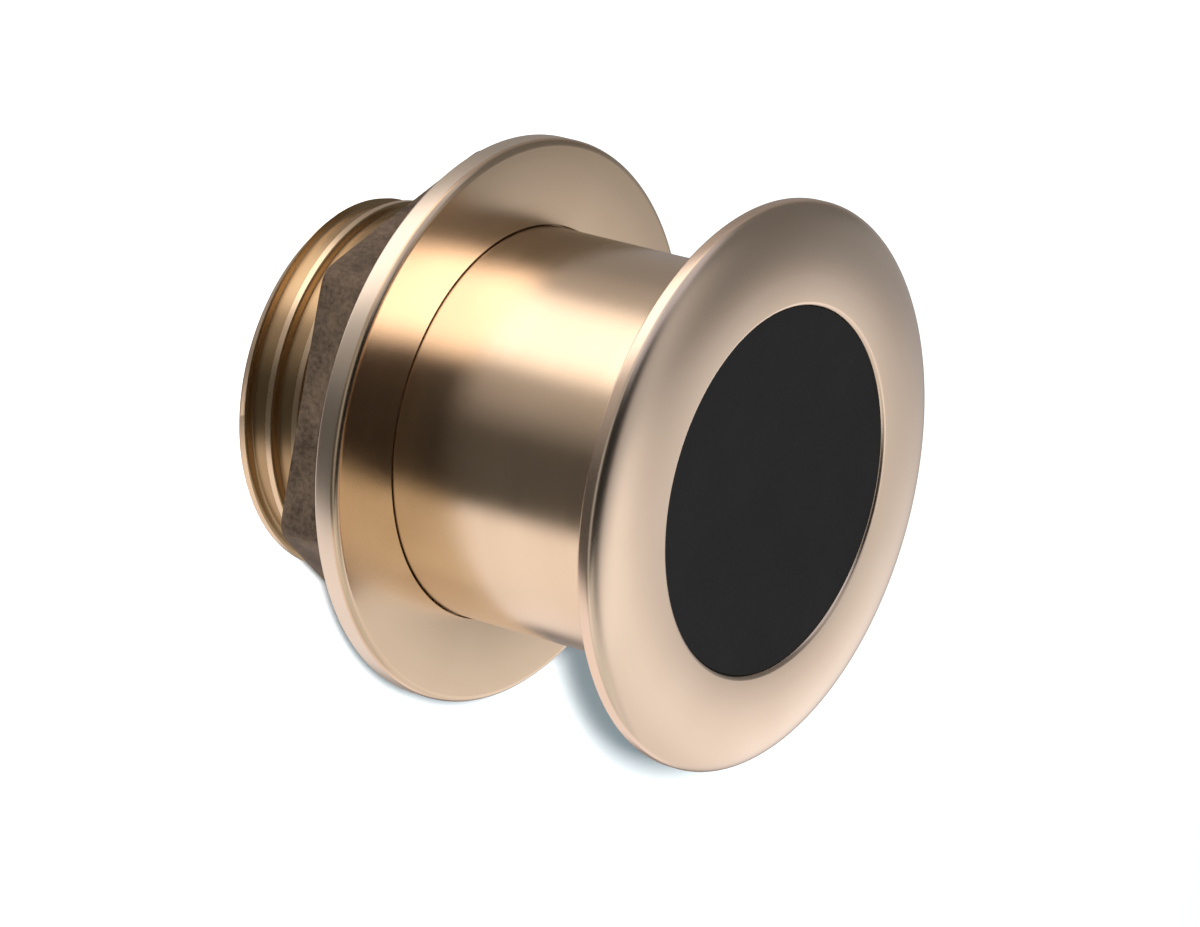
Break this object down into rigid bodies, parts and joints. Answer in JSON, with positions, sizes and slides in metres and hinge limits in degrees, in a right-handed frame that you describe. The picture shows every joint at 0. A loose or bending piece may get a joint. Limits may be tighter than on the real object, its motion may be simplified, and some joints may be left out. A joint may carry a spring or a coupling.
{
  "type": "sonar transducer",
  "caption": "Bronze low-profile through-hull sonar transducer: wide flange, flush black acoustic window, smooth stem, threaded tail and flanged hexagonal hull nut.",
  "frame": {"origin": "centre of the rear end of the stem, the plane it stands on", "axes": "+Z along the stem towards the acoustic face; one flat of the hull nut faces close to -Y"},
  "size_m": [0.08, 0.08, 0.0728],
  "materials": {
    "housing_bronze": "turned satin bronze",
    "nut_bronze": "turned disc, as-cast flats",
    "window_urethane": "matt",
    "ceramic": "fired ceramic",
    "silver": "fired silver",
    "cork": "pressed cork",
    "sensor_resin": "dipped",
    "copper": "tinned wire",
    "potting_resin": "cast",
    "gland_rubber": "moulded"
  },
  "bodies": {
    "transducer": {"housing": "housing_bronze", "acoustic_window": "window_urethane", "ceramic_disc": "ceramic", "front_electrode": "silver", "rear_electrode": "silver", "cork_ring": "cork", "cork_backing": "cork", "temperature_sensor": "sensor_resin", "front_lead": "copper", "rear_lead": "copper", "sensor_lead": "copper", "potting": "potting_resin", "cable_gland": "gland_rubber"},
    "nut": {"hull_nut": "nut_bronze"}
  },
  "joints": [
    {"name": "nut_travel", "type": "slide", "parent": "transducer", "child": "nut", "axis": [0, 0, -1], "range_m": [0, 0.013]}
  ]
}
